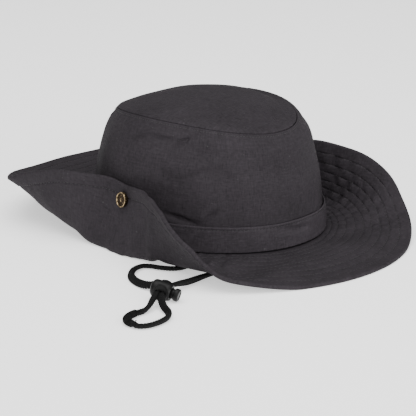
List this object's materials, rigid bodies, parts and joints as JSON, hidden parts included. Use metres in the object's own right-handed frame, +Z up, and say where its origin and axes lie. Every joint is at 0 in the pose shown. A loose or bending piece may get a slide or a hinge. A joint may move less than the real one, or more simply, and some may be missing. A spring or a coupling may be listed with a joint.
{
  "type": "brimmed_hat",
  "caption": "Wide-brimmed oilskin hat with both sides of the brim snapped up, and a chin cord with a cord lock.",
  "frame": {"origin": "bottom centre of the hat's own box, on the surface it rests on", "axes": "+Z up; the hat's front faces -Y, so the wearer's right is -X; the brim's longest extent is along Y"},
  "size_m": [0.3217, 0.3414, 0.1117],
  "materials": {
    "cloth": "waxed cotton, dry and matte with a faint sheen",
    "brass": "antique, dark in its groove",
    "cord": "matte flat braid",
    "plastic": "moulded, half matte"
  },
  "bodies": {
    "hat": {"crown_side": "cloth", "crown_band": "cloth", "crown_tip": "cloth", "brim": "cloth", "snap_cap_right": "brass", "snap_cap_left": "brass", "snap_post_right": "brass", "snap_post_left": "brass", "cord_tab_right": "cloth", "cord_tab_left": "cloth", "chin_cord_right": "cord", "chin_cord_left": "cord", "cord_joint": "cord", "cord_lock_body": "plastic"},
    "plunger": {"cord_lock_plunger": "plastic"}
  },
  "joints": [
    {"name": "plunger_press", "type": "slide", "parent": "hat", "child": "plunger", "axis": [-0.4118, 0.8831, 0.225], "range_m": [0, 0.002], "stiffness_N_per_m": 400, "springref_m": -0.003}
  ]
}
